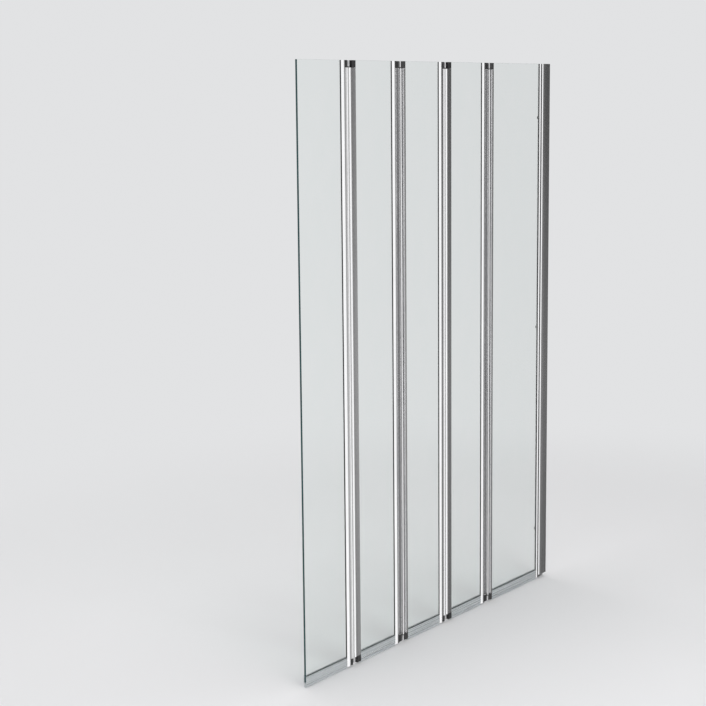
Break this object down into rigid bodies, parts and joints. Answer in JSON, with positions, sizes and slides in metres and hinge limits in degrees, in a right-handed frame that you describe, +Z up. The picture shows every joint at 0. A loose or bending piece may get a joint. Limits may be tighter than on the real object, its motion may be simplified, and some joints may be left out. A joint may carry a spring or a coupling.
{
  "type": "folding bath screen",
  "caption": "Wall-mounted glass bath screen whose narrow panels fold back on full-height rod hinges, with an adjustable wall channel and clear bottom seals.",
  "frame": {"origin": "on the back face of the wall channel, on the middle plane of the glass, half way up the screen and 700 mm above the rim of the bath", "axes": "+Z up, +X into the wall, -X along the screen to its free edge, -Y to the room side and +Y to the bath side"},
  "size_m": [1.05, 0.0232, 1.4],
  "materials": {
    "polished_aluminium": "polished",
    "polished_steel": "polished",
    "clear_glass": "clear, polished edges",
    "black_nylon": "moulded, satin",
    "clear_vinyl": "clear, flexible",
    "gasket_rubber": "matt"
  },
  "bodies": {
    "wall_frame": {"wall_channel": "polished_aluminium", "locking_screw_1": "polished_steel", "locking_screw_2": "polished_steel", "locking_screw_3": "polished_steel", "screw_cap_1": "black_nylon", "screw_cap_2": "black_nylon", "screw_cap_3": "black_nylon"},
    "fixed_panel": {"adjusting_jamb": "polished_aluminium", "jamb_gasket": "gasket_rubber", "glass_panel_5": "clear_glass", "bottom_seal_5": "clear_vinyl", "hinge_4_short_profile": "polished_aluminium", "short_profile_gasket_4": "gasket_rubber", "hinge_4_rod": "polished_steel", "hinge_4_top_end_plug": "black_nylon", "hinge_4_bottom_end_plug": "black_nylon"},
    "folding_panel_4": {"glass_panel_4": "clear_glass", "bottom_seal_4": "clear_vinyl", "hinge_4_long_profile": "polished_aluminium", "long_profile_gasket_4": "gasket_rubber", "hinge_4_top_pivot_block": "black_nylon", "hinge_4_bottom_pivot_block": "black_nylon", "hinge_3_short_profile": "polished_aluminium", "short_profile_gasket_3": "gasket_rubber", "hinge_3_rod": "polished_steel", "hinge_3_top_end_plug": "black_nylon", "hinge_3_bottom_end_plug": "black_nylon"},
    "folding_panel_3": {"glass_panel_3": "clear_glass", "bottom_seal_3": "clear_vinyl", "hinge_3_long_profile": "polished_aluminium", "long_profile_gasket_3": "gasket_rubber", "hinge_3_top_pivot_block": "black_nylon", "hinge_3_bottom_pivot_block": "black_nylon", "hinge_2_short_profile": "polished_aluminium", "short_profile_gasket_2": "gasket_rubber", "hinge_2_rod": "polished_steel", "hinge_2_top_end_plug": "black_nylon", "hinge_2_bottom_end_plug": "black_nylon"},
    "folding_panel_2": {"glass_panel_2": "clear_glass", "bottom_seal_2": "clear_vinyl", "hinge_2_long_profile": "polished_aluminium", "long_profile_gasket_2": "gasket_rubber", "hinge_2_top_pivot_block": "black_nylon", "hinge_2_bottom_pivot_block": "black_nylon", "hinge_1_short_profile": "polished_aluminium", "short_profile_gasket_1": "gasket_rubber", "hinge_1_rod": "polished_steel", "hinge_1_top_end_plug": "black_nylon", "hinge_1_bottom_end_plug": "black_nylon"},
    "folding_panel_1": {"glass_panel_1": "clear_glass", "bottom_seal_1": "clear_vinyl", "hinge_1_long_profile": "polished_aluminium", "long_profile_gasket_1": "gasket_rubber", "hinge_1_top_pivot_block": "black_nylon", "hinge_1_bottom_pivot_block": "black_nylon"}
  },
  "joints": [
    {"name": "wall_adjustment", "type": "slide", "parent": "wall_frame", "child": "fixed_panel", "axis": [-1, 0, 0], "range_m": [-0.006, 0.01]},
    {"name": "fold_4", "type": "hinge", "parent": "fixed_panel", "child": "folding_panel_4", "pos_m": [-0.288, -0.002, 0], "axis": [0, 0, 1], "range_deg": [0, 160]},
    {"name": "fold_3", "type": "hinge", "parent": "folding_panel_4", "child": "folding_panel_3", "pos_m": [-0.48, 0.002, 0], "axis": [0, 0, -1], "range_deg": [0, 160]},
    {"name": "fold_2", "type": "hinge", "parent": "folding_panel_3", "child": "folding_panel_2", "pos_m": [-0.672, -0.002, 0], "axis": [0, 0, 1], "range_deg": [0, 160]},
    {"name": "fold_1", "type": "hinge", "parent": "folding_panel_2", "child": "folding_panel_1", "pos_m": [-0.864, 0.002, 0], "axis": [0, 0, -1], "range_deg": [0, 160]}
  ]
}
